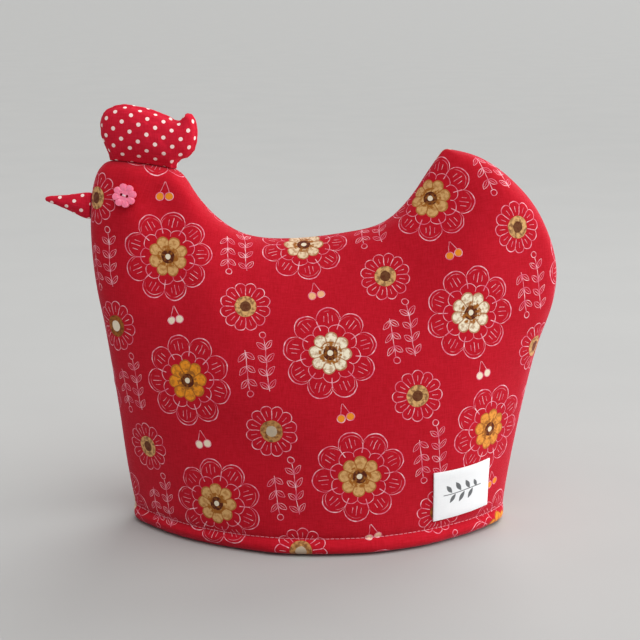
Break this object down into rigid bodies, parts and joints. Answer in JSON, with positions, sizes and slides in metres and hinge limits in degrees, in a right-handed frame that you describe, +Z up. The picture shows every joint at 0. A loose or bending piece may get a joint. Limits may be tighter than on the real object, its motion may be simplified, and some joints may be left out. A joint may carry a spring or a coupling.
{
  "type": "hen-shaped tea cosy",
  "caption": "Padded cotton tea cosy shaped like a hen, open below, with a stuffed comb and beak and flower button eyes.",
  "frame": {"origin": "middle of the bounding box at the floor, under the open hem", "axes": "+Z up; the hen looks towards -X, its tail towards +X; the front panel with the label faces -Y"},
  "size_m": [0.3223, 0.139, 0.2693],
  "materials": {
    "printed_cotton": "matt printed plain-weave cotton",
    "spotted_cotton": "matt plain-weave cotton with small pale spots",
    "pink_plastic": "soft gloss",
    "white_tape": "matt woven"
  },
  "bodies": {
    "root": {"panel_front": "printed_cotton", "panel_back": "printed_cotton", "comb": "spotted_cotton", "beak": "spotted_cotton", "eye_front": "pink_plastic", "eye_back": "pink_plastic", "label": "white_tape"}
  },
  "joints": []
}
